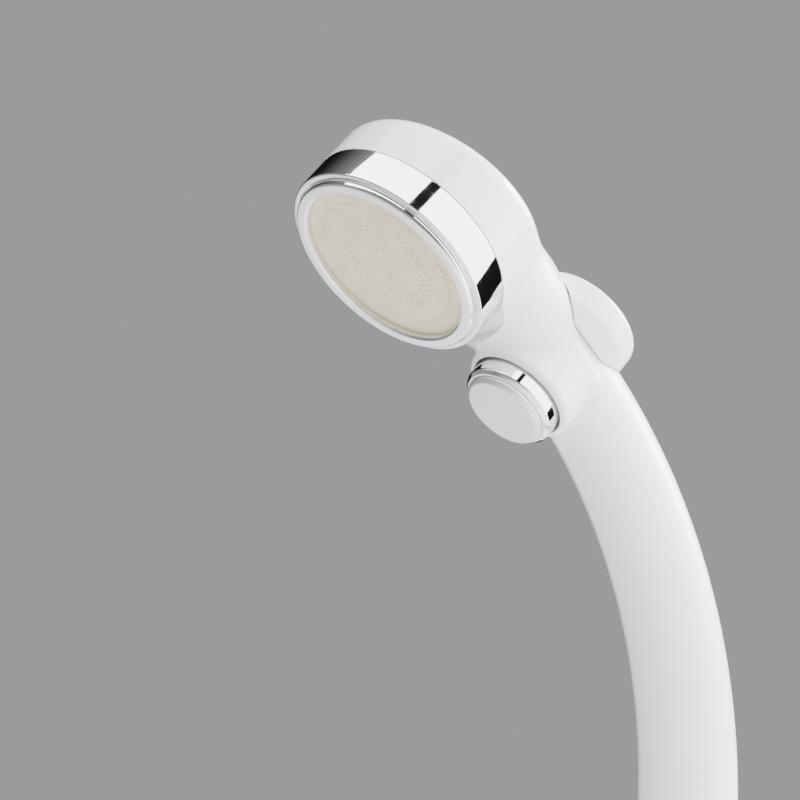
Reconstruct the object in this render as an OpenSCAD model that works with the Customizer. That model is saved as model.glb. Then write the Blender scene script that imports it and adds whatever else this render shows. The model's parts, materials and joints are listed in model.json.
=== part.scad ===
// Handheld shower head with a push-through stop valve in the handle.
// Millimetres. +Z up along the hose inlet, -Y the spray side, X across.
// Origin: centre of the free end of the hose thread.

/* [Handle] */
// Radius of the arc the handle is bent to
arc_radius = 172; // [168:1:176]
// Angle of the arc from the inlet to the valve, which is also the tilt of the spray
arc_angle = 50; // [48:0.5:52]
// Radius of the grip below the valve
grip_radius = 14.5; // [14.2:0.1:14.6]
// Radius of the neck above the valve
neck_radius = 13.2; // [13:0.1:13.3]
// Height at which the straight end taper starts
taper_top = 40; // [36:1:44]
// Radius at the small end of the taper
taper_radius = 12.3; // [12.1:0.1:12.8]
// Radius of the hollow in the grip
hollow_radius = 9.5; // [9.3:0.1:10]
// Radius of the waterway beside the valve
waterway_radius = 6; // [5.6:0.1:6.1]

/* [Head] */
// Outer radius of the head and of the face ring
head_radius = 32; // [31.8:0.1:33]
// Distance from the valve axis to the head axis
valve_to_head = 56.6; // [56:0.2:58]
// Distance of the head datum in front of the handle centreline
head_forward = 27.4; // [27.2:0.1:27.8]
// Depth of the head behind its datum
head_depth = 31; // [31:0.2:33]
// Rounding of the back edge of the head
head_round = 7; // [6:0.5:7.5]
// Outer radius of the front lip of the face ring
lip_radius = 30; // [29.8:0.1:30.4]
// Radius of the opening in the face ring
opening_radius = 26.2; // [26:0.1:26.6]

/* [Spray holes] */
// Radius of one jet hole
jet_radius = 0.25; // [0.2:0.05:0.3]
// Number of holes in the outer ring
outer_jets = 72; // [60:1:76]

/* [Stop valve] */
// Travel of the valve from running to shut
valve_travel = 5.5; // [5.3:0.1:5.6]
// Radius of the front button
button_radius = 14.2; // [14.1:0.1:14.4]
// Radius of the round pocket the front button slides in
pocket_radius = 14.85; // [14.8:0.05:14.95]
// Outer radius of the boss round the pocket
boss_radius = 16.8; // [16.6:0.1:17.2]
// Radius of the rear button
rear_radius = 18.3; // [18:0.1:18.6]

/* [Hose inlet] */
// Major radius of the hose thread
thread_radius = 10.48; // [10.4:0.02:10.48]
// Length of the hose thread
thread_length = 11.5; // [11:0.5:12]

/* [Face ring thread] */
// Running clearance between the ring and the spigot it screws on
thread_gap = 0.08; // [0.05:0.01:0.1]

/* [Hidden] */

white = [0.93, 0.94, 0.95];
chrome = [0.78, 0.8, 0.82];
satin = [0.72, 0.72, 0.7];
cream = [0.9, 0.87, 0.76];
black = [0.1, 0.1, 0.1];
brass = [0.75, 0.62, 0.3];
steel = [0.66, 0.67, 0.69];
grey = [0.5, 0.52, 0.54];

fit = 0.03;              // radial gap of a sliding fit
seal = 0.02;             // gap of a seal to the wall it rides on
spigot_radius = 29;      // ring thread on the head
spigot_end = -5.5;
seam = -12.9;            // plane between ring and head
chamber_radius = 26;
chamber_back = 4.5 - head_depth;
w0 = -head_forward;      // handle centreline, in the head frame
pocket_floor = w0 + 9;
sleeve_bore = 5.5;
seat_bore = 4.4;
body_end = thread_length + 3;

// Places children in the head frame: +Z the way the water leaves, +Y up the handle.
module head_frame() {
    translate([0, -arc_radius * (1 - cos(arc_angle)), taper_top + arc_radius * sin(arc_angle)])
        rotate([90 + arc_angle, 0, 0])
            translate([0, valve_to_head, head_forward])
                children();
}

// Places children on the valve axis.
module valve_frame() {
    head_frame() translate([0, -valve_to_head, 0]) children();
}

// A length of the handle arc with a round section, between two arc angles.
module arc(r, from, to) {
    translate([0, -arc_radius, taper_top]) rotate([90, 0, 90]) rotate([0, 0, from])
        rotate_extrude(angle = to - from, $fn = 240)
            translate([arc_radius, 0]) circle(r = r, $fn = 72);
}

// A round body turned about Z from a list of [radius, height] points.
module turned(points, fn = 96) {
    rotate_extrude($fn = fn) polygon(points);
}

// A seal ring of round section.
module o_ring(mid, section) {
    rotate_extrude($fn = 72) translate([mid, 0]) circle(r = section, $fn = 16);
}

// A quarter round from a to b degrees about c, as profile points.
function quarter(c, r, a, b, n = 6) = [for (i = [0:n]) [c[0] + r * cos(a + (b - a) * i / n), c[1] + r * sin(a + (b - a) * i / n)]];

module head_shell() {
    hull_back = -head_depth;
    rotate_extrude($fn = 128)
        union() {
            translate([0, hull_back]) square([head_radius - head_round, head_depth + seam]);
            translate([0, hull_back + head_round]) square([head_radius, head_depth + seam - head_round]);
            translate([head_radius - head_round, hull_back + head_round]) circle(r = head_round, $fn = 64);
        }
}

// A thin slice across the neck, so many degrees of arc above the valve.
module neck_slice(above, across, deep) {
    translate([0, -arc_radius, taper_top]) rotate([arc_angle + above, 0, 0])
        translate([0, arc_radius, 0]) scale([across, deep, 1]) rotate([0, 0, 5.625])
            cylinder(r = neck_radius, h = 1, $fn = 32);
}

module main_body() {
    color(white) difference() {
        union() {
            arc(grip_radius, 0, arc_angle);
            arc(neck_radius, arc_angle, arc_angle + 11.2);
            translate([0, 0, body_end]) cylinder(r1 = taper_radius, r2 = grip_radius, h = taper_top - body_end, $fn = 96);
            head_frame() {
                head_shell();
                translate([0, 0, seam - 4]) cylinder(r = spigot_radius, h = spigot_end - seam + 4, $fn = 128);
            }
            // the neck swells and fans out sideways into the back of the head
            hull() {
                neck_slice(2.5, 1.03, 1.03);
                neck_slice(6.5, 1.42, 1.2);
            }
            hull() {
                neck_slice(6.2, 1.39, 1.18);
                neck_slice(10, 1.6, 1.28);
                head_frame() translate([0, -1, -head_depth + 0.7]) cylinder(r = 25, h = 9, $fn = 32);
            }
            valve_frame() difference() {
                translate([0, 0, w0]) cylinder(r = boss_radius, h = -9.4 - w0, $fn = 96);
                translate([0, 0, -11.4]) difference() {
                    cylinder(r = boss_radius + 1, h = 3, $fn = 96);
                    translate([0, 0, -1]) cylinder(r = boss_radius - 2, h = 5, $fn = 96);
                    rotate_extrude($fn = 96) translate([boss_radius - 2, 0]) circle(r = 2, $fn = 32);
                }
            }
        }
        // room for the face ring, all round its thread
        head_frame() {
            translate([0, 0, seam]) difference() {
                cylinder(r = head_radius + 0.6, h = 30, $fn = 128);
                translate([0, 0, -1]) cylinder(r = spigot_radius, h = 1 + spigot_end - seam, $fn = 128);
            }
            // seal groove at the root of the thread
            translate([0, 0, seam + 0.4]) difference() {
                cylinder(r = spigot_radius + 1, h = 1.9, $fn = 128);
                translate([0, 0, -1]) cylinder(r = spigot_radius - 1.3, h = 4, $fn = 128);
            }
            translate([0, 0, chamber_back]) cylinder(r = chamber_radius, h = 40, $fn = 128);
        }
        valve_frame() {
            translate([0, 0, pocket_floor]) cylinder(r = pocket_radius, h = 30, $fn = 96);
            translate([0, 0, w0 - 10]) cylinder(r = 9 + fit, h = 25, $fn = 96);
            translate([0, 0, w0 - 30]) cylinder(r = 7 + fit, h = 40, $fn = 96);
            for (i = [0:2]) rotate([0, 0, 90 + 120 * i]) translate([10.9, 0, pocket_floor - 5])
                cylinder(r = 1, h = 7, $fn = 24);
        }
        arc(waterway_radius, arc_angle - 13, arc_angle + 11);
        arc(hollow_radius, 0, arc_angle - 12);
        translate([0, 0, body_end - 1]) cylinder(r = 9 + fit, h = taper_top - body_end + 2, $fn = 96);
    }
}

module face_ring() {
    bore = spigot_radius + thread_gap;
    color(chrome) head_frame() turned(concat(
        [[bore, seam + 0.2], [head_radius - 0.5, seam + 0.2]],
        quarter([head_radius - 0.5, seam + 0.7], 0.5, -90, 0, 3),
        quarter([head_radius - 0.6, -2.3], 0.6, 0, 90, 3),
        [[lip_radius + 0.3, -1.7], [lip_radius + 0.2, -2.5], [lip_radius - 0.5, -2.5]],
        quarter([lip_radius - 1.3, -1], 1.3, 0, 90, 4),
        [[opening_radius + 0.7, 0.3]],
        quarter([opening_radius + 0.6, -0.3], 0.6, 90, 180, 3),
        [[opening_radius, -1.85], [28.5, -1.85], [28.5, spigot_end + 0.1], [bore, spigot_end + 0.1]]), 128);
}

// Rows of jets: outer ring, three close rows, and the centre.
module jets() {
    for (i = [0:outer_jets - 1]) rotate([0, 0, i * 360 / outer_jets]) translate([21.4, 0, 0]) children();
    for (k = [0:2]) for (i = [0:35]) rotate([0, 0, (i + 0.5 * k) * 10]) translate([12 + 1.6 * k, 0, 0]) children();
    for (i = [0:11]) rotate([0, 0, i * 30]) translate([5, 0, 0]) children();
    for (i = [0:5]) rotate([0, 0, i * 60]) translate([2.8, 0, 0]) children();
}

module spray_plate() {
    color(cream) head_frame() difference() {
        union() {
            translate([0, 0, -3.5]) cylinder(r = 28.4, h = 1.6, $fn = 96);
            translate([0, 0, -4.6]) difference() {
                cylinder(r = 25.4, h = 1.5, $fn = 96);
                translate([0, 0, -1]) cylinder(r = 24.2, h = 3, $fn = 96);
            }
        }
        translate([0, 0, -6]) jets() cylinder(r = jet_radius, h = 6, $fn = 8);
    }
}

module plate_gasket() {
    color(black) head_frame() translate([0, 0, spigot_end]) difference() {
        cylinder(r = 28.4, h = 2, $fn = 96);
        translate([0, 0, -1]) cylinder(r = 26.1, h = 4, $fn = 96);
    }
}

module diffuser_plate() {
    color(grey) head_frame() difference() {
        union() {
            translate([0, 0, -17]) cylinder(r = chamber_radius - 0.1, h = 2, $fn = 96);
            translate([0, 0, chamber_back]) for (i = [0:3]) rotate([0, 0, 45 + 90 * i])
                translate([19, 0, 0]) cylinder(r = 2, h = -16.5 - chamber_back, $fn = 32);
        }
        for (i = [0:11]) rotate([0, 0, 30 * i]) translate([22.5, 0, -20]) cylinder(r = 1.6, h = 8, $fn = 24);
        for (i = [0:7]) rotate([0, 0, 45 * i]) translate([12, 0, -20]) cylinder(r = 1.6, h = 8, $fn = 24);
    }
}

module head_o_ring() {
    color(black) head_frame() translate([0, 0, seam + 1.35]) o_ring(28.4, 0.66);
}

module valve_sleeve() {
    color(brass) valve_frame() translate([0, 0, w0]) difference() {
        union() {
            translate([0, 0, -14.8]) cylinder(r = 7, h = 20, $fn = 64);
            translate([0, 0, -9.9]) cylinder(r = 9, h = 19, $fn = 96);
            translate([0, 0, 9]) cylinder(r = 12.7, h = 1.8, $fn = 96);
            translate([0, 0, 9]) cylinder(r = 8, h = 6.4, $fn = 96);
        }
        translate([0, 0, -20]) cylinder(r = sleeve_bore, h = 18, $fn = 64);
        translate([0, 0, -5]) cylinder(r = seat_bore, h = 10, $fn = 64);
        translate([0, 0, 1]) cylinder(r = sleeve_bore, h = 20, $fn = 64);
        // inlet ports below, outlet ports above
        for (i = [-1:1]) {
            rotate([0, 0, 34 * i]) translate([0, -3, -4.1]) rotate([90, 0, 0]) cylinder(r = 1.8, h = 8, $fn = 32);
            rotate([0, 0, 34 * i]) translate([0, 3, 3.4]) rotate([-90, 0, 0]) cylinder(r = 1.8, h = 8, $fn = 32);
        }
        for (h = [7.5, -8]) translate([0, 0, h - 0.95]) difference() {
            cylinder(r = 10, h = 1.9, $fn = 96);
            translate([0, 0, -1]) cylinder(r = 7.7, h = 4, $fn = 96);
        }
        for (i = [0:2]) rotate([0, 0, 90 + 120 * i]) translate([10.9, 0, 8]) cylinder(r = 1.15, h = 5, $fn = 24);
    }
}

module sleeve_front_o_ring() {
    color(black) valve_frame() translate([0, 0, w0 + 7.5]) o_ring(8.365, 0.65);
}

module sleeve_rear_o_ring() {
    color(black) valve_frame() translate([0, 0, w0 - 8]) o_ring(8.365, 0.65);
}

module sleeve_screws() {
    color(steel) valve_frame() for (i = [0:2]) rotate([0, 0, 90 + 120 * i]) translate([10.9, 0, w0 + 10.8]) difference() {
        union() {
            translate([0, 0, -6]) cylinder(r = 0.98, h = 6.5, $fn = 24);
            cylinder(r = 1.7, h = 1.2, $fn = 32);
        }
        translate([-0.9, -0.2, 0.6]) cube([1.8, 0.4, 1]);
        translate([-0.2, -0.9, 0.6]) cube([0.4, 1.8, 1]);
    }
}

// Grooved piston land, from z = 0 up.
module land(r, h) {
    difference() {
        cylinder(r = r, h = h, $fn = 64);
        translate([0, 0, h / 2 - 0.8]) difference() {
            cylinder(r = r + 1, h = 1.6, $fn = 64);
            translate([0, 0, -1]) cylinder(r = r - 1.1, h = 4, $fn = 64);
        }
    }
}

module valve_spool() {
    color(brass) valve_frame() translate([0, 0, w0]) difference() {
        union() {
            translate([0, 0, 12]) land(sleeve_bore - fit, 4);
            translate([0, 0, 2.6]) land(seat_bore - fit, 2.8);
            translate([0, 0, 3]) cylinder(r = 2.5, h = 10, $fn = 48);
            translate([0, 0, -6.4]) cylinder(r = 2.5, h = 10, $fn = 48);
            translate([0, 0, -15.8]) cylinder(r = 1.98, h = 12, $fn = 48);
            translate([0, 0, 15]) cylinder(r = 4, h = 5, $fn = 48);
        }
        translate([0, 0, 13]) cylinder(r = 1.5, h = 8, $fn = 32);
    }
}

module spool_front_o_ring() {
    color(black) valve_frame() translate([0, 0, w0 + 14]) o_ring(sleeve_bore - 0.57, 0.55);
}

module spool_seat_o_ring() {
    color(black) valve_frame() translate([0, 0, w0 + 4]) o_ring(seat_bore - 0.57, 0.55);
}

module rear_piston() {
    color(brass) valve_frame() translate([0, 0, w0 - 9]) difference() {
        land(sleeve_bore - fit, 2.6);
        translate([0, 0, -1]) cylinder(r = 2, h = 5, $fn = 48);
    }
}

module rear_piston_o_ring() {
    color(black) valve_frame() translate([0, 0, w0 - 7.7]) o_ring(sleeve_bore - 0.57, 0.55);
}

module front_button() {
    r = button_radius;
    color(chrome) valve_frame() difference() {
        turned(concat(
            [[0, -7.4], [5, -7.4], [5, -5.8], [r - 1.2, -5.8], [r - 1.2, -12.2], [r, -12.2]],
            quarter([r - 1.2, -5.2], 1.2, 0, 90, 5),
            [[0, -4]]), 96);
        translate([0, 0, -5.9]) cylinder(r = 3.1, h = 5, $fn = 48);
        translate([0, 0, -9]) cylinder(r = 1.6, h = 8, $fn = 32);
    }
}

module button_face() {
    r = 12.5;
    color(satin) valve_frame() turned(concat([[0, -4], [r, -4], [r, -2.8]],
        quarter([r - 0.8, -2.8], 0.8, 0, 90, 4), [[0, -2]]), 96);
}

module button_screw() {
    color(steel) valve_frame() difference() {
        union() {
            translate([0, 0, -13.6]) cylinder(r = 1.47, h = 9, $fn = 32);
            translate([0, 0, -5.9]) cylinder(r = 2.9, h = 1.7, $fn = 48);
        }
        translate([-1.6, -0.3, -5]) cube([3.2, 0.6, 2]);
        translate([-0.3, -1.6, -5]) cube([0.6, 3.2, 2]);
    }
}

module rear_button() {
    r = rear_radius;
    color(white) difference() {
        valve_frame() turned(concat(
            [[2.01, -43.4], [0, -43.4], [0, -45]],
            quarter([r - 3, -42], 3, -90, 0, 8),
            quarter([r - 2.5, -36], 2.5, 0, 48, 4),
            [[15.4, -31.5], [12, -31.5], [12, -42.4], [4.9, -42.4], [4.9, w0 - 9], [2.01, w0 - 9]]), 96);
        arc(grip_radius + 0.4, arc_angle - 12, arc_angle);
        arc(neck_radius + 0.4, arc_angle, arc_angle + 12);
        hull() {
            neck_slice(2.4, 1.07, 1.07);
            neck_slice(7, 1.5, 1.26);
        }
    }
}

module hose_connector() {
    color(chrome) difference() {
        union() {
            translate([0, 0, 0]) cylinder(r = thread_radius, h = thread_length, $fn = 96);
            translate([0, 0, thread_length]) cylinder(r = taper_radius - 0.3, h = 3, $fn = 96);
            translate([0, 0, thread_length]) cylinder(r = 9, h = 17, $fn = 96);
        }
        translate([0, 0, -1]) cylinder(r = 8, h = 9, $fn = 96);
        translate([0, 0, 1]) cylinder(r = 6.3, h = 40, $fn = 96);
        translate([0, 0, 23]) difference() {
            cylinder(r = 10, h = 1.9, $fn = 96);
            translate([0, 0, -1]) cylinder(r = 7.7, h = 4, $fn = 96);
        }
    }
}

module connector_o_ring() {
    color(black) translate([0, 0, 23.95]) o_ring(8.365, 0.65);
}

module flow_regulator() {
    color(grey) translate([0, 0, 4.4]) difference() {
        cylinder(r = 7.9, h = 3.5, $fn = 64);
        translate([0, 0, -1]) cylinder(r = 5.2, h = 2.6, $fn = 64);
        for (i = [0:7]) rotate([0, 0, 45 * i]) translate([3.6, 0, -1]) cylinder(r = 0.9, h = 8, $fn = 24);
        translate([0, 0, 0.8]) difference() {
            cylinder(r = 9, h = 1.5, $fn = 64);
            translate([0, 0, -1]) cylinder(r = 6.9, h = 4, $fn = 64);
        }
    }
}

module regulator_o_ring() {
    color(black) translate([0, 0, 5.95]) o_ring(7.45, 0.53);
}

module inlet_strainer() {
    color(steel) translate([0, 0, 1.2]) difference() {
        union() {
            difference() {
                cylinder(r = 7.95, h = 3, $fn = 64);
                translate([0, 0, -1]) cylinder(r = 7.2, h = 5, $fn = 64);
            }
            translate([0, 0, 2.4]) cylinder(r = 7.5, h = 0.6, $fn = 64);
        }
        for (k = [1:3]) for (i = [0:6 * k - 1]) rotate([0, 0, i * 60 / k]) translate([2 * k, 0, 1]) cylinder(r = 0.5, h = 4, $fn = 16);
        translate([0, 0, 1]) cylinder(r = 0.5, h = 4, $fn = 16);
    }
}

main_body();
face_ring();
spray_plate();
plate_gasket();
diffuser_plate();
head_o_ring();
valve_sleeve();
sleeve_front_o_ring();
sleeve_rear_o_ring();
sleeve_screws();
valve_spool();
spool_front_o_ring();
spool_seat_o_ring();
rear_piston();
rear_piston_o_ring();
front_button();
button_face();
button_screw();
rear_button();
hose_connector();
connector_o_ring();
flow_regulator();
regulator_o_ring();
inlet_strainer();
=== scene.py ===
import json
import math

import bmesh
import bpy
import numpy as np
from mathutils import Matrix, Vector


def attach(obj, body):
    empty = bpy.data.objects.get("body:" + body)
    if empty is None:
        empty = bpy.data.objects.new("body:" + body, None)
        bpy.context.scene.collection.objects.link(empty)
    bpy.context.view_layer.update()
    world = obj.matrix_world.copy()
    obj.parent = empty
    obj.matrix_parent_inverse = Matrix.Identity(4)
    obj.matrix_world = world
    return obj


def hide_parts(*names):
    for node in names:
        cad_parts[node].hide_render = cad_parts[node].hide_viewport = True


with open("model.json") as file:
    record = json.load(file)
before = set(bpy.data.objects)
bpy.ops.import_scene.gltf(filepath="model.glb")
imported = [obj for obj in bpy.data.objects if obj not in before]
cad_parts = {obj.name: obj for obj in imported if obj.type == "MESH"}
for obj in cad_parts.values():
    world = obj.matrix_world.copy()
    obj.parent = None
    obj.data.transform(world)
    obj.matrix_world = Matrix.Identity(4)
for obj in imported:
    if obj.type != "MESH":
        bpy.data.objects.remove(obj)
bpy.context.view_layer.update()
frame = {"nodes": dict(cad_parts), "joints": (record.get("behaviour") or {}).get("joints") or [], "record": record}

MM = 0.001

# ---------------------------------------------------------------- the frame's own directions, in millimetres
joints = {j["name"]: j for j in frame["joints"]}
N = np.array(joints["ring_unscrew"]["axis"], float)          # the way the water leaves
N /= np.linalg.norm(N)
HEAD = np.array(joints["ring_unscrew"]["pos_m"], float) * 1000  # head axis at the datum
XX = np.array([1.0, 0.0, 0.0])
UP = np.cross(N, XX)                                         # up the handle, square to N
TILT = math.atan2(-N[2], -N[1])                              # 50 degrees
R_ARC = 172.0
Z0 = 40.0
V2H = 56.6
FWD = 27.4
VALVE = HEAD - V2H * UP                                      # on the valve axis at the head datum's level
BODY_END = 14.5


def to_row(points, origin):
    """Points given as (x, up, along N) about an origin, to the row frame, in metres."""
    p = np.asarray(points, float)
    return (origin + p[:, :1] * XX + p[:, 1:2] * UP + p[:, 2:3] * N) * MM


# ---------------------------------------------------------------- mesh helpers
def make_object(name, verts, faces, sharp=35.0):
    me = bpy.data.meshes.new(name)
    me.from_pydata([tuple(v) for v in verts], [], faces)
    me.update()
    bm = bmesh.new()
    bm.from_mesh(me)
    bmesh.ops.remove_doubles(bm, verts=bm.verts, dist=1e-7)
    bmesh.ops.recalc_face_normals(bm, faces=bm.faces)
    bm.to_mesh(me)
    bm.free()
    o = bpy.data.objects.new(name, me)
    bpy.context.scene.collection.objects.link(o)
    smooth(o, sharp)
    return o


def smooth(o, angle=35.0):
    me = o.data
    me.polygons.foreach_set("use_smooth", [True] * len(me.polygons))
    me.set_sharp_from_angle(angle=math.radians(angle))
    me.update()


def lathe_raw(profile, segs, closed=True):
    """Rings of a profile of (r, h) points turned about the local axis: verts as (x, y, h), faces."""
    prof = [tuple(p) for p in profile]
    verts, faces = [], []
    n = len(prof)
    for i in range(segs):
        a = 2 * math.pi * i / segs
        c, s = math.cos(a), math.sin(a)
        for r, h in prof:
            verts.append((r * c, r * s, h))
    m = n if closed else n - 1
    for i in range(segs):
        j = (i + 1) % segs
        for k in range(m):
            l = (k + 1) % n
            f = (i * n + k, j * n + k, j * n + l, i * n + l)
            faces.append(f)
    return np.array(verts), faces


def lathe(name, profile, origin, segs=192, closed=True, sharp=35.0):
    v, f = lathe_raw(profile, segs, closed)
    if origin is None:
        v = v * MM
    else:
        v = to_row(v, origin)
    return make_object(name, v, f, sharp)


def fillet(points, radii, steps=5):
    """A profile whose corners are rounded: points (r, h) and a radius for each."""
    out = []
    n = len(points)
    for i in range(n):
        p = np.array(points[i], float)
        rad = radii[i]
        if rad <= 0:
            out.append(tuple(p))
            continue
        a = np.array(points[i - 1], float) - p
        b = np.array(points[(i + 1) % n], float) - p
        la, lb = np.linalg.norm(a), np.linalg.norm(b)
        a, b = a / la, b / lb
        ang = math.acos(max(-1, min(1, float(a @ b))))
        if ang > math.pi - 1e-3:
            out.append(tuple(p))
            continue
        t = rad / math.tan(ang / 2)
        t = min(t, la * 0.49, lb * 0.49)
        rr = t * math.tan(ang / 2)
        p0, p1 = p + a * t, p + b * t
        bis = (a + b) / np.linalg.norm(a + b)
        c = p + bis * (rr / math.sin(ang / 2))
        a0 = math.atan2(*(p0 - c)[::-1])
        a1 = math.atan2(*(p1 - c)[::-1])
        d = (a1 - a0 + math.pi) % (2 * math.pi) - math.pi
        for k in range(steps + 1):
            t_ = a0 + d * k / steps
            out.append((c[0] + rr * math.cos(t_), c[1] + rr * math.sin(t_)))
    return out


def drop(o):
    me = o.data
    bpy.data.objects.remove(o)
    if me.users == 0:
        bpy.data.meshes.remove(me)


def cut(o, cutters, operation="DIFFERENCE"):
    for c in cutters:
        m = o.modifiers.new("cut", "BOOLEAN")
        m.operation = operation
        m.object = c
        m.solver = "MANIFOLD"
        dg = bpy.context.evaluated_depsgraph_get()
        dg.update()
        me = bpy.data.meshes.new_from_object(o.evaluated_get(dg))
        old = o.data
        o.modifiers.clear()
        if len(me.polygons) == 0:
            raise RuntimeError(f"cut of {o.name} by {c.name} came out empty")
        o.data = me
        bpy.data.meshes.remove(old)
        drop(c)


def cylinder(name, r, h0, h1, origin, segs=192, chamfer=None):
    """A solid cylinder along the local axis; chamfer=(size at h1) opens out its mouth."""
    prof = [(0.0, h0), (r, h0)]
    if chamfer:
        prof += [(r, chamfer[0] - chamfer[1]), (r + chamfer[1], chamfer[0]), (r + chamfer[1], h1)]
    else:
        prof += [(r, h1)]
    prof += [(0.0, h1)]
    v, f = lathe_raw(prof, segs, closed=False)
    v = v * MM if origin is None else to_row(v, origin)
    return make_object(name, v, f)


def arc_tube(name, r, from_deg, to_deg, segs=64, rings=60):
    verts, faces = [], []
    for i in range(rings + 1):
        t = math.radians(from_deg + (to_deg - from_deg) * i / rings)
        rad = np.array([0, math.cos(t), math.sin(t)])
        c = np.array([0, -R_ARC, Z0]) + R_ARC * rad
        for k in range(segs):
            a = 2 * math.pi * k / segs
            verts.append((c + r * (math.cos(a) * rad + math.sin(a) * XX)) * MM)
    for i in range(rings):
        for k in range(segs):
            l = (k + 1) % segs
            faces.append((i * segs + k, i * segs + l, (i + 1) * segs + l, (i + 1) * segs + k))
    faces.append(tuple(range(segs)))
    faces.append(tuple(rings * segs + k for k in range(segs))[::-1])
    return make_object(name, verts, faces)


# ---------------------------------------------------------------- the white moulding as a smooth solid
def smin(a, b, k):
    h = np.maximum(k - np.abs(a - b), 0.0) / k
    return np.minimum(a, b) - h * h * k * 0.25


WIDEN = 0.272
SWELL = 0.313


def tube_radius(s):
    """Radius of the grip and neck by distance down from the valve."""
    return 13.25 + 0.0102 * np.clip(s, -60, 150)


def body_field(p):
    """Signed distance-like field of the outer skin, at points p (n, 3) in millimetres."""
    x, y, z = p[:, 0], p[:, 1], p[:, 2]
    # grip, neck: an arc with a changing round section
    th = np.arctan2(z - Z0, y + R_ARC)
    rho = np.hypot(y + R_ARC, z - Z0)
    s = (TILT - th) * R_ARC
    th_end = math.radians(63.0)
    r_arc = tube_radius(s)
    # runs back to the foot radius below the picture's edge
    low = np.clip(th / math.radians(3.0), 0, 1)
    r_arc = np.minimum(r_arc, 14.3 + 0.4 * low * low * (3 - 2 * low))
    # the neck swells and fans out sideways as it nears the head
    fan = np.clip((-s - 1.6) / 27.7, 0, 1)
    fan = fan * fan * (3 - 2 * fan)
    fade = np.clip((-s - 20.0) / 19.4, 0, 1)
    fade = fade * fade * (3 - 2 * fade)
    arc = np.hypot(x / (1.0 + WIDEN * fan), rho - R_ARC) - r_arc * (1.0 + SWELL * fan - 0.185 * fade)
    end = np.array([0.0, R_ARC * math.cos(th_end) - R_ARC, R_ARC * math.sin(th_end) + Z0])
    e = p - end
    cap = np.sqrt((x / (1.0 + WIDEN)) ** 2 + (e @ UP / 1.7) ** 2 + (e @ N) ** 2) - 14.5
    arc = np.where(th > th_end, cap, arc)
    r_foot = 12.3 + (14.3 - 12.3) * np.clip((z - BODY_END) / (Z0 - BODY_END), -0.3, 1.0)
    foot = np.hypot(x, y) - r_foot
    grip = np.where(z < Z0, foot, arc)
    d = p - HEAD
    u, a = d @ UP, d @ N
    rad = np.hypot(x, u)
    # the bowl of the head
    rb = 5.4
    back, front = -32.0 + 0.093 * u, 6.0
    half = (front - back) / 2
    q0 = rad - (32.0 - rb)
    q1 = np.abs(a - (front + back) / 2) - (half - rb)
    bowl = np.hypot(np.maximum(q0, 0), np.maximum(q1, 0)) + np.minimum(np.maximum(q0, q1), 0) - rb
    # the boss round the button
    e = p - VALVE
    vr = np.hypot(x, e @ UP)
    va = e @ N
    rr = 2.0
    b0, b1 = -27.4, -9.4
    q0 = vr - (16.8 - rr)
    q1 = np.abs(va - (b0 + b1) / 2) - ((b1 - b0) / 2 - rr)
    boss = np.hypot(np.maximum(q0, 0), np.maximum(q1, 0)) + np.minimum(np.maximum(q0, q1), 0) - rr
    f = smin(grip, bowl, 8.0)
    f = smin(f, boss, 1.6)
    return np.maximum(f, BODY_END - 2.0 - z)


def gradient(p, field=body_field, e=0.02):
    g = np.empty_like(p)
    for k in range(3):
        d = np.zeros(3)
        d[k] = e
        g[:, k] = (field(p + d) - field(p - d)) / (2 * e)
    return g


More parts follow.
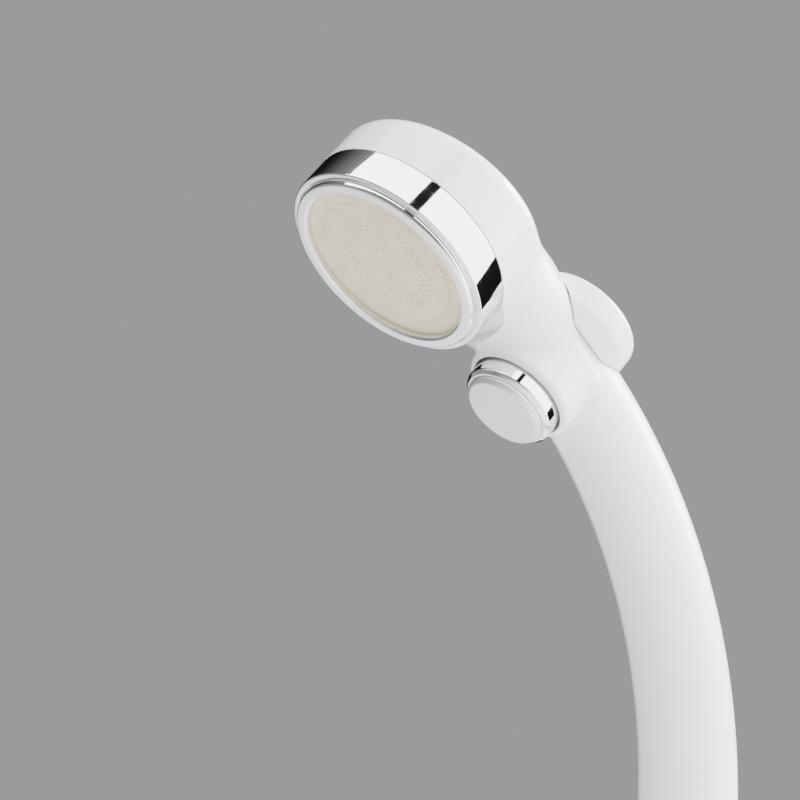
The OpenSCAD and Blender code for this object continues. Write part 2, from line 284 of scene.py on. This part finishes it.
def surface_nets(field, lo, hi, h):
    """Vertices and quads of the zero level of a field sampled on a grid, pulled on to the level exactly."""
    n = np.ceil((hi - lo) / h).astype(int) + 1
    ax = [lo[k] + h * np.arange(n[k]) for k in range(3)]
    vals = np.empty(tuple(n), np.float32)
    yy, zz = np.meshgrid(ax[1], ax[2], indexing="ij")
    for i, x in enumerate(ax[0]):
        pts = np.stack([np.full(yy.size, x), yy.ravel(), zz.ravel()], 1)
        vals[i] = field(pts).reshape(n[1], n[2])
    inside = vals < 0
    cells = np.zeros(tuple(n - 1), np.int8)
    for dx in (0, 1):
        for dy in (0, 1):
            for dz in (0, 1):
                cells += inside[dx:n[0] - 1 + dx, dy:n[1] - 1 + dy, dz:n[2] - 1 + dz]
    mask = (cells > 0) & (cells < 8)
    idx = -np.ones(tuple(n - 1), np.int64)
    ijk = np.argwhere(mask)
    idx[mask] = np.arange(len(ijk))
    acc = np.zeros((len(ijk), 3))
    cnt = np.zeros(len(ijk))
    i, j, k = ijk.T
    for axis in range(3):
        o1, o2 = [t for t in range(3) if t != axis]
        for b in (0, 1):
            for c in (0, 1):
                off = np.zeros(3, int)
                off[o1], off[o2] = b, c
                v0 = vals[i + off[0], j + off[1], k + off[2]].astype(float)
                off2 = off.copy()
                off2[axis] += 1
                v1 = vals[i + off2[0], j + off2[1], k + off2[2]].astype(float)
                cross = (v0 < 0) != (v1 < 0)
                t = np.where(cross, v0 / np.where(cross, v0 - v1, 1), 0)
                pt = np.tile(off.astype(float), (len(ijk), 1))
                pt[:, axis] += t
                acc += np.where(cross[:, None], pt, 0)
                cnt += cross
    verts = lo + h * (ijk + acc / cnt[:, None])
    for _ in range(4):
        f = field(verts)
        g = gradient(verts, field)
        verts = verts - g * (f / np.maximum((g * g).sum(1), 0.05))[:, None]
    faces = []
    for axis in range(3):
        o1, o2 = [t for t in range(3) if t != axis]
        sl0 = [slice(None)] * 3
        sl1 = [slice(None)] * 3
        sl0[axis] = slice(0, n[axis] - 1)
        sl1[axis] = slice(1, n[axis])
        a, b = inside[tuple(sl0)], inside[tuple(sl1)]
        edge = np.argwhere(a != b)
        ok = (edge[:, o1] > 0) & (edge[:, o2] > 0) & (edge[:, o1] < n[o1] - 1) & (edge[:, o2] < n[o2] - 1)
        edge = edge[ok]
        def at(d1, d2):
            e = edge.copy()
            e[:, o1] -= d1
            e[:, o2] -= d2
            return idx[e[:, 0], e[:, 1], e[:, 2]]
        q = np.stack([at(1, 1), at(0, 1), at(0, 0), at(1, 0)], 1)
        flip = a[edge[:, 0], edge[:, 1], edge[:, 2]]
        if axis == 1:
            flip = ~flip
        q[~flip] = q[~flip][:, ::-1]
        faces.append(q)
    return verts, np.vstack(faces)


def skin_normals(o):
    """Sets the corner normals of the faces on the smooth skin from the field itself, so its gloss has no ripple."""
    me = o.data
    co = np.empty(len(me.vertices) * 3)
    me.vertices.foreach_get("co", co)
    co = co.reshape(-1, 3) * 1000
    f = np.abs(body_field(co))
    on = f < 0.03
    g = gradient(co)
    g /= np.maximum(np.linalg.norm(g, axis=1, keepdims=True), 1e-9)
    corner = np.empty(len(me.loops) * 3)
    me.corner_normals.foreach_get("vector", corner)
    corner = corner.reshape(-1, 3)
    lv = np.empty(len(me.loops), np.int64)
    me.loops.foreach_get("vertex_index", lv)
    start = np.empty(len(me.polygons), np.int64)
    total = np.empty(len(me.polygons), np.int64)
    me.polygons.foreach_get("loop_start", start)
    me.polygons.foreach_get("loop_total", total)
    fn = np.empty(len(me.polygons) * 3)
    me.polygons.foreach_get("normal", fn)
    fn = fn.reshape(-1, 3)
    face = np.repeat(np.arange(len(start)), total)
    agree = (fn[face] * g[lv]).sum(1) > 0.9
    all_on = np.ones(len(start), bool)
    np.logical_and.at(all_on, face, on[lv] & agree)
    use = all_on[face]
    corner[use] = g[lv[use]]
    me.normals_split_custom_set([tuple(c) for c in corner])


def build_body():
    lo = np.array([-33.6, -156.0, BODY_END - 3.4])
    hi = np.array([33.6, 17.0, 236.0])
    v, f = surface_nets(body_field, lo, hi, 0.9)
    o = make_object("body_shell", v * MM, [tuple(int(t) for t in q) for q in f], 60)
    cuts = []
    # everything in front of the ring seam, except the spigot
    cuts.append(lathe("c_seam", fillet([(0.0, -12.9), (31.6, -12.9), (32.6, -12.5), (36.0, -12.5), (36.0, 20.0), (0.0, 20.0)], [0, 0.2, 0, 0, 0, 0]), HEAD, 256, closed=False))
    cuts.append(cylinder("c_chamber", 26.0, -26.5, -5.0, HEAD, 160))
    cuts.append(cylinder("c_pocket", 14.85, -18.4, 4.0, VALVE, 192, chamfer=(-9.1, 0.55)))
    cuts.append(cylinder("c_sleeve", 9.03, -37.4, -15.0, VALVE, 128))
    cuts.append(cylinder("c_tail", 7.03, -60.0, -30.0, VALVE, 128))
    cuts.append(arc_tube("c_water", 6.0, 37.0, 61.0))
    cuts.append(arc_tube("c_hollow", 9.5, 0.0, 38.0))
    cuts.append(cylinder("c_inlet", 9.03, 5.0, Z0 + 1.0, None, 128))
    cuts.append(cylinder("c_foot", 30.0, -5.0, BODY_END, None, 96))
    for i in range(3):
        t = math.radians(90 + 120 * i)
        cuts.append(cylinder("c_screw", 1.02, -23.4, -17.0, VALVE + 10.9 * (math.cos(t) * XX + math.sin(t) * UP), 24))
    cut(o, cuts)
    smooth(o, 32)
    skin_normals(o)
    return o


def threaded(name, r_major, r_minor, pitch, h0, h1, r_in, origin, segs=160, rows_per_pitch=14, start=0.6):
    """A real helical thread on a ring: its radius follows the height and the turn, with a lead-in at each end."""
    rows = int(round((h1 - h0) / pitch * rows_per_pitch))
    hs = np.linspace(h0, h1, rows + 1)
    verts, faces = [], []
    depth = r_major - r_minor
    n = rows + 3
    for i in range(segs):
        a = 2 * math.pi * i / segs
        c, s = math.cos(a), math.sin(a)
        ph = ((hs / pitch) - i / segs) % 1.0
        tri = np.abs(2 * ph - 1)
        r = r_minor + depth * np.clip((tri - 0.12) / 0.76, 0, 1)
        lead = np.minimum((hs - h0) * 0.9, (h1 - hs) * 0.9)
        r = np.minimum(r, r_minor - 0.15 + np.clip(lead, 0, depth + 0.15))
        verts.append((r_in * c, r_in * s, h0))
        for k in range(rows + 1):
            verts.append((r[k] * c, r[k] * s, hs[k]))
        verts.append((r_in * c, r_in * s, h1))
    for i in range(segs):
        j = (i + 1) % segs
        for k in range(n):
            l = (k + 1) % n
            faces.append((i * n + k, j * n + k, j * n + l, i * n + l))
    v = np.array(verts)
    v = v * MM if origin is None else to_row(v, origin)
    return make_object(name, v, faces, 40)


# ---------------------------------------------------------------- materials
def new_mat(name):
    m = bpy.data.materials.new(name)
    m.use_nodes = True
    nt = m.node_tree
    bsdf = nt.nodes["Principled BSDF"]
    co = nt.nodes.new("ShaderNodeTexCoord")
    return m, nt, bsdf, co.outputs["Object"]


def noise(nt, vec, scale, detail=3.0, rough=0.55, distortion=0.0):
    n = nt.nodes.new("ShaderNodeTexNoise")
    n.inputs["Scale"].default_value = scale
    n.inputs["Detail"].default_value = detail
    n.inputs["Roughness"].default_value = rough
    n.inputs["Distortion"].default_value = distortion
    nt.links.new(vec, n.inputs["Vector"])
    return n.outputs["Fac"]


def ramp(nt, fac, stops):
    r = nt.nodes.new("ShaderNodeValToRGB")
    cr = r.color_ramp
    cr.elements[0].position, cr.elements[0].color = stops[0][0], (*stops[0][1], 1)
    cr.elements[1].position, cr.elements[1].color = stops[-1][0], (*stops[-1][1], 1)
    for pos, col in stops[1:-1]:
        e = cr.elements.new(pos)
        e.color = (*col, 1)
    nt.links.new(fac, r.inputs["Fac"])
    return r.outputs["Color"]


def span(nt, fac, lo, hi, from_lo=0.3, from_hi=0.7):
    m = nt.nodes.new("ShaderNodeMapRange")
    m.inputs["From Min"].default_value = from_lo
    m.inputs["From Max"].default_value = from_hi
    m.inputs["To Min"].default_value = lo
    m.inputs["To Max"].default_value = hi
    nt.links.new(fac, m.inputs["Value"])
    return m.outputs["Result"]


def bump(nt, bsdf, height, strength, distance):
    b = nt.nodes.new("ShaderNodeBump")
    b.inputs["Strength"].default_value = strength
    b.inputs["Distance"].default_value = distance
    nt.links.new(height, b.inputs["Height"])
    nt.links.new(b.outputs["Normal"], bsdf.inputs["Normal"])


def white_plastic():
    m, nt, b, co = new_mat("white_gloss_abs")
    nt.links.new(ramp(nt, noise(nt, co, 55, 4), [(0.3, (0.80, 0.81, 0.825)), (0.55, (0.835, 0.84, 0.85)), (0.75, (0.85, 0.85, 0.855))]), b.inputs["Base Color"])
    nt.links.new(span(nt, noise(nt, co, 420, 5), 0.16, 0.26), b.inputs["Roughness"])
    b.inputs["IOR"].default_value = 1.52
    b.inputs["Coat Weight"].default_value = 0.35
    b.inputs["Coat Roughness"].default_value = 0.06
    b.inputs["Subsurface Weight"].default_value = 0.06
    b.inputs["Subsurface Radius"].default_value = (0.004, 0.004, 0.004)
    b.inputs["Subsurface Scale"].default_value = 1.0
    bump(nt, b, noise(nt, co, 900, 2), 0.05, 0.0002)
    return m


def chrome(name="bright_chrome", lo=0.03, hi=0.075):
    m, nt, b, co = new_mat(name)
    nt.links.new(ramp(nt, noise(nt, co, 70, 4), [(0.3, (0.80, 0.81, 0.83)), (0.7, (0.88, 0.885, 0.90))]), b.inputs["Base Color"])
    b.inputs["Metallic"].default_value = 1.0
    nt.links.new(span(nt, noise(nt, co, 260, 6, 0.65, 0.4), lo, hi), b.inputs["Roughness"])
    bump(nt, b, noise(nt, co, 160, 3), 0.012, 0.0002)
    return m


def satin_metal():
    m, nt, b, co = new_mat("satin_silver")
    nt.links.new(ramp(nt, noise(nt, co, 2600, 4, 0.7), [(0.3, (0.66, 0.65, 0.635)), (0.7, (0.80, 0.79, 0.775))]), b.inputs["Base Color"])
    b.inputs["Metallic"].default_value = 0.75
    nt.links.new(span(nt, noise(nt, co, 1800, 5, 0.7), 0.36, 0.5), b.inputs["Roughness"])
    bump(nt, b, noise(nt, co, 4200, 3, 0.7), 0.12, 0.00005)
    return m


def cream_plastic():
    m, nt, b, co = new_mat("cream_pom")
    nt.links.new(ramp(nt, noise(nt, co, 130, 5), [(0.3, (0.72, 0.63, 0.42)), (0.5, (0.78, 0.70, 0.49)), (0.72, (0.82, 0.745, 0.545))]), b.inputs["Base Color"])
    nt.links.new(span(nt, noise(nt, co, 900, 5), 0.34, 0.5), b.inputs["Roughness"])
    b.inputs["Subsurface Weight"].default_value = 0.12
    b.inputs["Subsurface Radius"].default_value = (0.002, 0.0016, 0.001)
    b.inputs["Subsurface Scale"].default_value = 1.0
    bump(nt, b, noise(nt, co, 2400, 3), 0.12, 0.00008)
    return m


def rubber():
    m, nt, b, co = new_mat("black_epdm")
    nt.links.new(ramp(nt, noise(nt, co, 500, 4), [(0.3, (0.012, 0.012, 0.013)), (0.7, (0.03, 0.03, 0.031))]), b.inputs["Base Color"])
    nt.links.new(span(nt, noise(nt, co, 1500, 4), 0.5, 0.75), b.inputs["Roughness"])
    bump(nt, b, noise(nt, co, 3000, 3), 0.3, 0.0001)
    return m


def metal(name, c0, c1, r0, r1):
    m, nt, b, co = new_mat(name)
    sc = nt.nodes.new("ShaderNodeMapping")
    sc.inputs["Scale"].default_value = (1.0, 6.0, 6.0)
    nt.links.new(co, sc.inputs["Vector"])
    nt.links.new(ramp(nt, noise(nt, co, 240, 4), [(0.3, c0), (0.7, c1)]), b.inputs["Base Color"])
    b.inputs["Metallic"].default_value = 1.0
    nt.links.new(span(nt, noise(nt, sc.outputs["Vector"], 400, 5, 0.6), r0, r1), b.inputs["Roughness"])
    bump(nt, b, noise(nt, sc.outputs["Vector"], 700, 3), 0.15, 0.00008)
    return m


def moulded(name, c0, c1):
    m, nt, b, co = new_mat(name)
    nt.links.new(ramp(nt, noise(nt, co, 200, 4), [(0.3, c0), (0.7, c1)]), b.inputs["Base Color"])
    nt.links.new(span(nt, noise(nt, co, 1200, 4), 0.35, 0.55), b.inputs["Roughness"])
    bump(nt, b, noise(nt, co, 2500, 3), 0.15, 0.00008)
    return m


MATS = {
    "white_abs": white_plastic(),
    "chrome_plate": chrome(),
    "satin_silver": satin_metal(),
    "cream_pom": cream_plastic(),
    "black_epdm": rubber(),
    "white_pom": moulded("white_pom_moulded", (0.72, 0.72, 0.70), (0.80, 0.80, 0.78)),
    "dezinc_brass": metal("machined_brass", (0.62, 0.44, 0.17), (0.74, 0.55, 0.25), 0.22, 0.38),
    "stainless": metal("stainless_steel", (0.52, 0.52, 0.53), (0.66, 0.66, 0.67), 0.25, 0.4),
    "grey_pom": moulded("grey_pom_moulded", (0.30, 0.32, 0.35), (0.38, 0.40, 0.43)),
}


def dress(o, slot, body=None, *nodes):
    o.data.materials.clear()
    o.data.materials.append(MATS[slot])
    if body:
        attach(o, body)
        if nodes:
            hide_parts(*nodes)
    return o


# carried-over CAD nodes take the same finishes
slot_of = {s["node"]: s["material_slot"] for s in frame["record"]["subparts"]}
for name, o in frame["nodes"].items():
    o.data.materials.clear()
    o.data.materials.append(MATS[slot_of[name]])

# ---------------------------------------------------------------- the pieces
body = build_body()
dress(body, "white_abs", "handle", "main_body")

spigot = threaded("head_spigot", 28.98, 28.2, 2.0, -10.3, -5.5, 26.05, HEAD, 192, 14)
dress(spigot, "white_abs", "handle")
root = lathe("head_spigot_root", [(26.05, -12.85), (28.98, -12.85), (28.98, -12.5), (27.7, -12.5), (27.7, -10.6), (28.2, -10.6), (28.2, -10.25), (26.05, -10.25)], HEAD, 192)
dress(root, "white_abs", "handle")

OPEN, LIP = 26.2, 30.0
ring = lathe("ring_shell", fillet(
    [(29.08, -12.7), (31.95, -12.7), (31.95, -1.7), (30.3, -1.7), (30.2, -2.5), (29.5, -2.5), (30.0, -1.2), (29.6, 0.3), (26.9, 0.3), (26.2, -0.3), (26.2, -1.85), (28.5, -1.85), (28.5, -5.4), (29.08, -5.4)],
    [0.1, 0.35, 0.62, 0.12, 0.1, 0.1, 0.6, 1.0, 0.4, 0.4, 0.1, 0, 0, 0.1], 6), HEAD, 256, sharp=40)
dress(ring, "chrome_plate", "ring", "face_ring")


def jet_places():
    out = []
    for i in range(72):
        out.append((21.4, i * 5.0))
    for k in range(3):
        for i in range(36):
            out.append((12 + 1.6 * k, (i + 0.5 * k) * 10))
    for i in range(12):
        out.append((5.0, i * 30))
    for i in range(6):
        out.append((2.8, i * 60))
    return out


def build_plate():
    o = lathe("jet_plate", fillet([(0.0, -3.5), (24.2, -3.5), (24.2, -4.6), (25.4, -4.6), (25.4, -3.5), (28.4, -3.5), (28.4, -1.9), (0.0, -1.9)],
                                  [0, 0, 0, 0, 0, 0, 0.15, 0]), HEAD, 192, closed=False)
    # one cutter made of all the jets: a bore with a small lead-out at the face
    prof = [(0.0, -6.0), (0.24, -6.0), (0.24, -2.1), (0.42, -1.9), (0.42, -1.0), (0.0, -1.0)]
    v0, f0 = lathe_raw(prof, 12, closed=False)
    verts, faces = [], []
    for r, deg in jet_places():
        t = math.radians(deg)
        base = len(verts)
        for v in v0:
            verts.append((v[0] + r * math.cos(t), v[1] + r * math.sin(t), v[2]))
        faces += [tuple(i + base for i in f) for f in f0]
    c = make_object("c_jets", to_row(verts, HEAD), faces)
    cut(o, [c])
    smooth(o, 30)
    return o


plate = build_plate()
dress(plate, "cream_pom", "plate_set", "spray_plate")

button = lathe("button_cup", fillet(
    [(0.0, -7.4), (5.0, -7.4), (5.0, -5.8), (13.0, -5.8), (13.0, -12.2), (14.2, -12.2), (14.2, -5.3), (13.1, -4.2), (12.7, -4.1), (12.6, -4.3), (3.1, -4.3), (3.1, -5.9), (0.0, -5.9)],
    [0, 0.2, 0.3, 0.3, 0.1, 0.3, 1.1, 0.4, 0.05, 0, 0.1, 0, 0], 7), VALVE, 256, closed=False, sharp=40)
dress(button, "chrome_plate", "valve", "front_button")
face = lathe("button_disc", fillet([(0.0, -4.3), (12.5, -4.3), (12.5, -3.4), (11.4, -2.0), (0.0, -2.0)], [0, 0.1, 0.5, 1.1, 0], 8), VALVE, 256, closed=False, sharp=50)
dress(face, "satin_silver", "valve", "button_face")


def build_rear():
    r = 18.3
    outer = fillet([(0.0, -45.0), (r, -45.0), (r, -36.2), (15.3, -31.3), (12.0, -31.3), (12.0, -42.4), (4.9, -42.4), (4.9, -36.4), (2.01, -36.4), (2.01, -43.4), (0.0, -43.4)],
                   [0, 3.0, 4.0, 0.5, 0.2, 0.5, 0.3, 0.1, 0, 0, 0], 10)
    o = lathe("rear_cap", outer, VALVE, 256, closed=False, sharp=40)

    # the saddle follows the handle's own skin at a running gap
    def saddle(p):
        d = p - VALVE
        tube = np.hypot(d[:, 0], d @ UP) - 24.0
        a = d @ N
        return np.maximum(np.maximum(body_field(p) - 0.4, tube), np.abs(a + 32.0) - 17.0)

    mid = VALVE - 32.0 * N
    v, f = surface_nets(saddle, mid - 34.0, mid + 34.0, 0.8)
    cut(o, [make_object("c_saddle", v * MM, [tuple(int(t) for t in q) for q in f])])
    smooth(o, 35)
    return o


rear = build_rear()
dress(rear, "white_abs", "valve", "rear_button")

inlet = threaded("inlet_thread", 10.48, 9.35, 1.814, 0.0, 11.3, 8.0, None, 128, 16)
dress(inlet, "chrome_plate", "handle", "hose_connector")
collar = lathe("inlet_collar", fillet([(6.3, 8.0), (8.05, 8.0), (8.05, 11.3), (11.9, 11.3), (11.9, 14.5), (9.0, 14.5), (9.0, 23.0), (7.7, 23.0), (7.7, 24.9), (9.0, 24.9), (9.0, 28.5), (6.3, 28.5)],
                                      [0.1, 0, 0, 0.4, 0.4, 0, 0, 0, 0, 0, 0.3, 0.3]), None, 160)
dress(collar, "chrome_plate", "handle")

# ---------------------------------------------------------------- floor, light, camera
floor_me = bpy.data.meshes.new("floor")
floor_me.from_pydata([(-6, -6, -0.002), (6, -6, -0.002), (6, 6, -0.002), (-6, 6, -0.002)], [], [(0, 1, 2, 3)])
floor = bpy.data.objects.new("floor", floor_me)
bpy.context.scene.collection.objects.link(floor)
fm, nt, b, co = new_mat("pale_floor")
nt.links.new(ramp(nt, noise(nt, co, 3, 4), [(0.3, (0.60, 0.60, 0.60)), (0.7, (0.63, 0.63, 0.63))]), b.inputs["Base Color"])
b.inputs["Roughness"].default_value = 0.8
floor_me.materials.append(fm)

world = bpy.data.worlds.new("studio")
bpy.context.scene.world = world
world.use_nodes = True
world.node_tree.nodes["Background"].inputs[0].default_value = (0.62, 0.63, 0.65, 1)
world.node_tree.nodes["Background"].inputs[1].default_value = 0.58

# the camera found from the photograph, given in the head's own directions
RIGHT = 0.5732 * XX - 0.5797 * N - 0.5791 * UP
CUP = 0.1145 * XX - 0.6432 * N + 0.7571 * UP
BACK = 0.8114 * XX + 0.5003 * N + 0.3023 * UP
DIST = 831.7
cam_pos = HEAD + DIST * BACK
F_PX = 3.5914 * DIST
U0, V0 = 382.41, 267.67
# the same rays with the camera aimed at the picture's middle, so that there is no shift
dirs = {}
for key, (px, py) in {"c": (400, 400), "r": (800, 400), "t": (400, 0)}.items():
    dirs[key] = (px - U0) / F_PX * RIGHT - (py - V0) / F_PX * CUP - BACK
fwd = dirs["c"] / np.linalg.norm(dirs["c"])
right = RIGHT - (RIGHT @ fwd) * fwd
right /= np.linalg.norm(right)
upv = np.cross(right, fwd)
cam_data = bpy.data.cameras.new("camera")
cam = bpy.data.objects.new("camera", cam_data)
bpy.context.scene.collection.objects.link(cam)
f_mid = F_PX * np.linalg.norm(dirs["c"])
cam_data.sensor_width = 36
cam_data.lens = f_mid / 800 * 36
cam_data.clip_start, cam_data.clip_end = 0.05, 50
rot = Matrix((Vector(right), Vector(upv), Vector(-fwd))).transposed()
cam.matrix_world = Matrix.Translation(Vector(cam_pos * MM)) @ rot.to_4x4()
bpy.context.scene.camera = cam


def softbox(name, place, aim, w, h, power):
    """An area light at a point given along the camera's right, up and back from the head, in millimetres."""
    d = bpy.data.lights.new(name, "AREA")
    d.shape = "RECTANGLE"
    d.size, d.size_y = w, h
    d.energy = power
    o = bpy.data.objects.new(name, d)
    bpy.context.scene.collection.objects.link(o)
    p = HEAD + place[0] * RIGHT + place[1] * CUP + place[2] * BACK
    q = HEAD + aim[0] * RIGHT + aim[1] * CUP + aim[2] * BACK
    o.location = Vector(p * MM)
    o.rotation_mode = "QUATERNION"
    o.rotation_quaternion = Vector((q - p)).to_track_quat("-Z", "Y")
    return o


WINDOW = 7.0


def panel(name, a0, a1, c0, c1, far, mat, lit=True):
    """Part of a round studio tent: from a0 to a1 degrees round the head's axis, c0 to c1 along it."""
    verts, faces = [], []
    na, nc = max(2, int(abs(a1 - a0) / 6)), 8
    mid = HEAD
    for i in range(na + 1):
        t = math.radians(a0 + (a1 - a0) * i / na)
        for k in range(nc + 1):
            c = c0 + (c1 - c0) * k / nc
            d = c * N + math.sqrt(1 - c * c) * (math.cos(t) * XX + math.sin(t) * UP)
            verts.append(tuple((mid + far * d) * MM))
    for i in range(na):
        for k in range(nc):
            j = i * (nc + 1) + k
            faces.append((j, j + 1, j + nc + 2, j + nc + 1))
    me = bpy.data.meshes.new(name)
    me.from_pydata(verts, [], faces)
    o = bpy.data.objects.new(name, me)
    bpy.context.scene.collection.objects.link(o)
    me.materials.append(mat)
    o.visible_camera = False
    o.visible_shadow = False
    o.visible_diffuse = lit
    return o


def glow(name, strength):
    m = bpy.data.materials.new(name)
    m.use_nodes = True
    nt = m.node_tree
    nt.nodes.clear()
    em = nt.nodes.new("ShaderNodeEmission")
    em.inputs["Color"].default_value = (1.0, 0.995, 0.985, 1)
    em.inputs["Strength"].default_value = strength
    out = nt.nodes.new("ShaderNodeOutputMaterial")
    nt.links.new(em.outputs[0], out.inputs["Surface"])
    return m


card, nt, b, co = new_mat("dark_card")
nt.links.new(ramp(nt, noise(nt, co, 4, 3), [(0.3, (0.004, 0.004, 0.005)), (0.7, (0.006, 0.006, 0.007))]), b.inputs["Base Color"])
b.inputs["Roughness"].default_value = 1.0
b.inputs["Specular IOR Level"].default_value = 0.0

bright = glow("window", WINDOW)
panel("window_side", -62.3, 30.2, -0.86, -0.05, 400, bright)
panel("window_top", 41.7, 110.2, -0.86, -0.05, 400, bright)
for i in range(8):
    k = 1 - (i + 0.5) / 8
    panel("fade_%d" % i, 110.2 + 6.2 * i, 116.4 + 6.2 * i, -0.86, -0.05, 400, glow("fade_%d" % i, 0.015 + 0.3 * k ** 1.6))
panel("dark_band", -150, 215, -0.9, 0.02, 440, card, lit=False)
panel("dark_front", -140, -60, 0.02, 0.6, 440, card)
panel("dark_under", -150, -66, -0.95, 0.02, 430, card)
softbox("rim", (1000, 300, -600), (120, -220, 0), 0.6, 0.6, 75)
